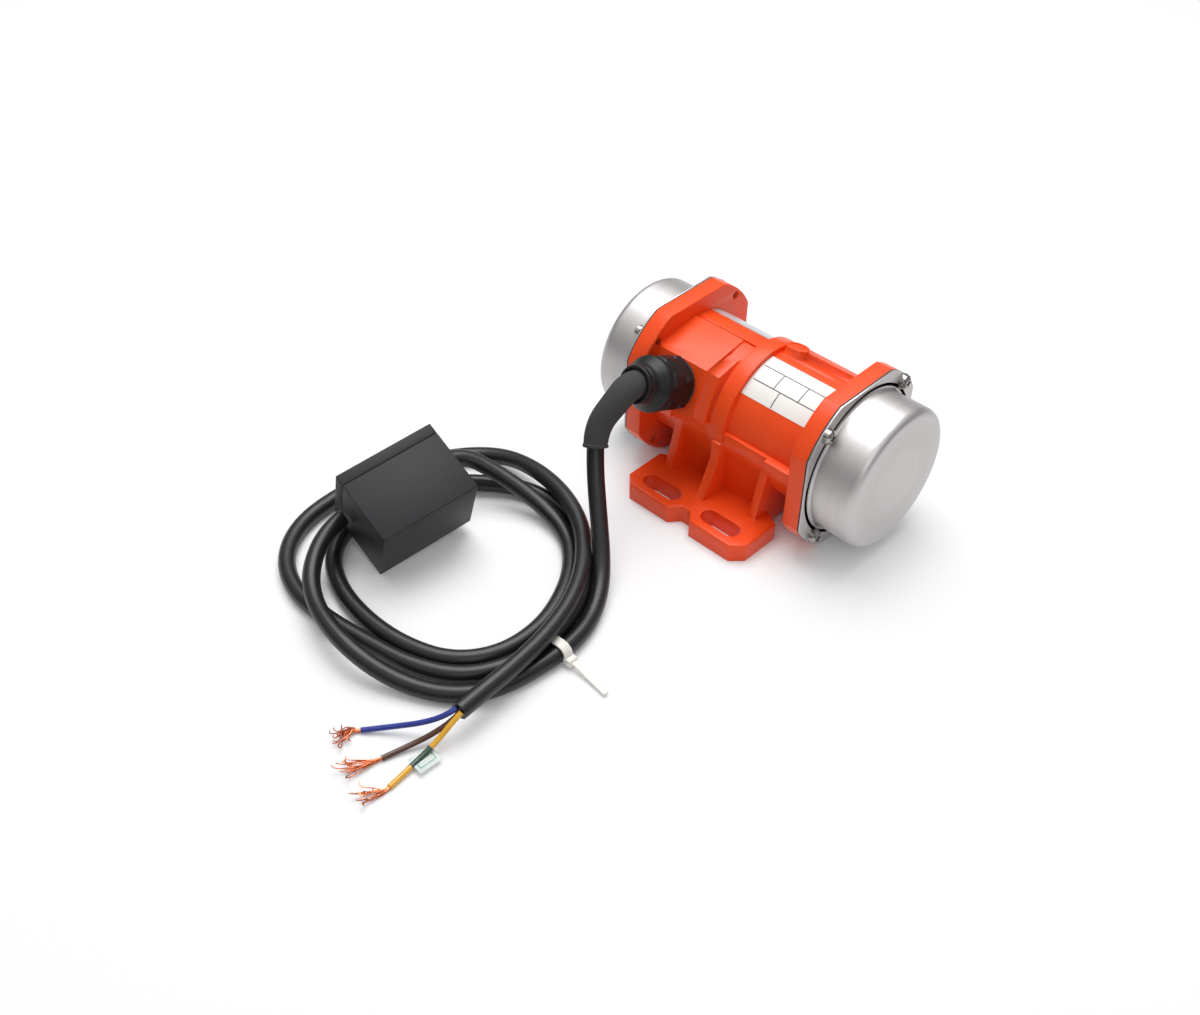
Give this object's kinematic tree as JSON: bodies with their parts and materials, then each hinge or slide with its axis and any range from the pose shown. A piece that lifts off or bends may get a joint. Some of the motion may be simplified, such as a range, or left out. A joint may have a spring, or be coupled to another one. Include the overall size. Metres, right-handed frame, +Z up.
{
  "type": "vibration motor",
  "caption": "Small foot-mounted electric vibration motor in an orange casting with steel end covers, cable gland, coiled cable with capacitor box and cut mains end.",
  "frame": {"origin": "centre of the four foot slots, on the underside of the feet", "axes": "+X along the shaft, -Y towards the cable side, +Z up from the mounting plane"},
  "size_m": [0.2079, 0.3208, 0.0795],
  "materials": {
    "orange_paint": "satin",
    "drawn_steel": "satin",
    "black_rubber": "matt",
    "bright_steel": "polished",
    "cast_aluminium": "cast",
    "bearing_steel": "ground",
    "electrical_steel": "laminated",
    "copper": "enamelled",
    "black_plastic": "matt",
    "cable_black": "satin",
    "white_plastic": "matt",
    "grey_plastic": "matt",
    "blue_insulation": "gloss",
    "brown_insulation": "gloss",
    "yellow_insulation": "gloss",
    "clear_plastic": "clear",
    "weight_steel": "machined"
  },
  "bodies": {
    "frame": {"housing": "orange_paint", "end_cover_right": "drawn_steel", "end_cover_left": "drawn_steel", "gasket_right": "black_rubber", "gasket_left": "black_rubber", "cover_screws": "bright_steel", "cover_washers": "bright_steel", "end_shield_right": "cast_aluminium", "end_shield_left": "cast_aluminium", "preload_washers": "bright_steel", "bearing_outer_races": "bearing_steel", "bearing_seals": "black_rubber", "stator_core": "electrical_steel", "stator_windings": "copper", "gland_seal": "black_rubber", "gland_body": "black_plastic", "gland_nut": "black_plastic", "gland_bush": "black_rubber", "cable_sleeve": "black_rubber", "motor_cable": "cable_black", "cable_coil": "cable_black", "mains_tail": "cable_black", "cable_tie": "white_plastic", "capacitor_box": "black_plastic", "capacitor_box_lid": "black_plastic", "capacitor": "grey_plastic", "core_blue": "blue_insulation", "core_brown": "brown_insulation", "core_yellow": "yellow_insulation", "copper_strands": "copper", "core_tag": "clear_plastic"},
    "rotor": {"shaft": "bearing_steel", "rotor_core": "electrical_steel", "rotor_cage": "cast_aluminium", "bearing_inner_races": "bearing_steel", "fixed_weight_right": "weight_steel", "fixed_weight_left": "weight_steel", "weight_keys": "bearing_steel", "retaining_rings": "bright_steel"},
    "weight_right": {"adjustable_weight_right": "weight_steel", "clamp_bolt_right": "bright_steel"},
    "weight_left": {"adjustable_weight_left": "weight_steel", "clamp_bolt_left": "bright_steel"}
  },
  "joints": [
    {"name": "rotor_spin", "type": "hinge", "parent": "frame", "child": "rotor", "pos_m": [0, 0, 0.04], "axis": [1, 0, 0], "continuous": true},
    {"name": "weight_setting_right", "type": "hinge", "parent": "rotor", "child": "weight_right", "pos_m": [0.0657, 0, 0.04], "axis": [1, 0, 0], "range_deg": [0, 180]},
    {"name": "weight_setting_left", "type": "hinge", "parent": "rotor", "child": "weight_left", "pos_m": [-0.0657, 0, 0.04], "axis": [1, 0, 0], "range_deg": [0, 180]}
  ]
}
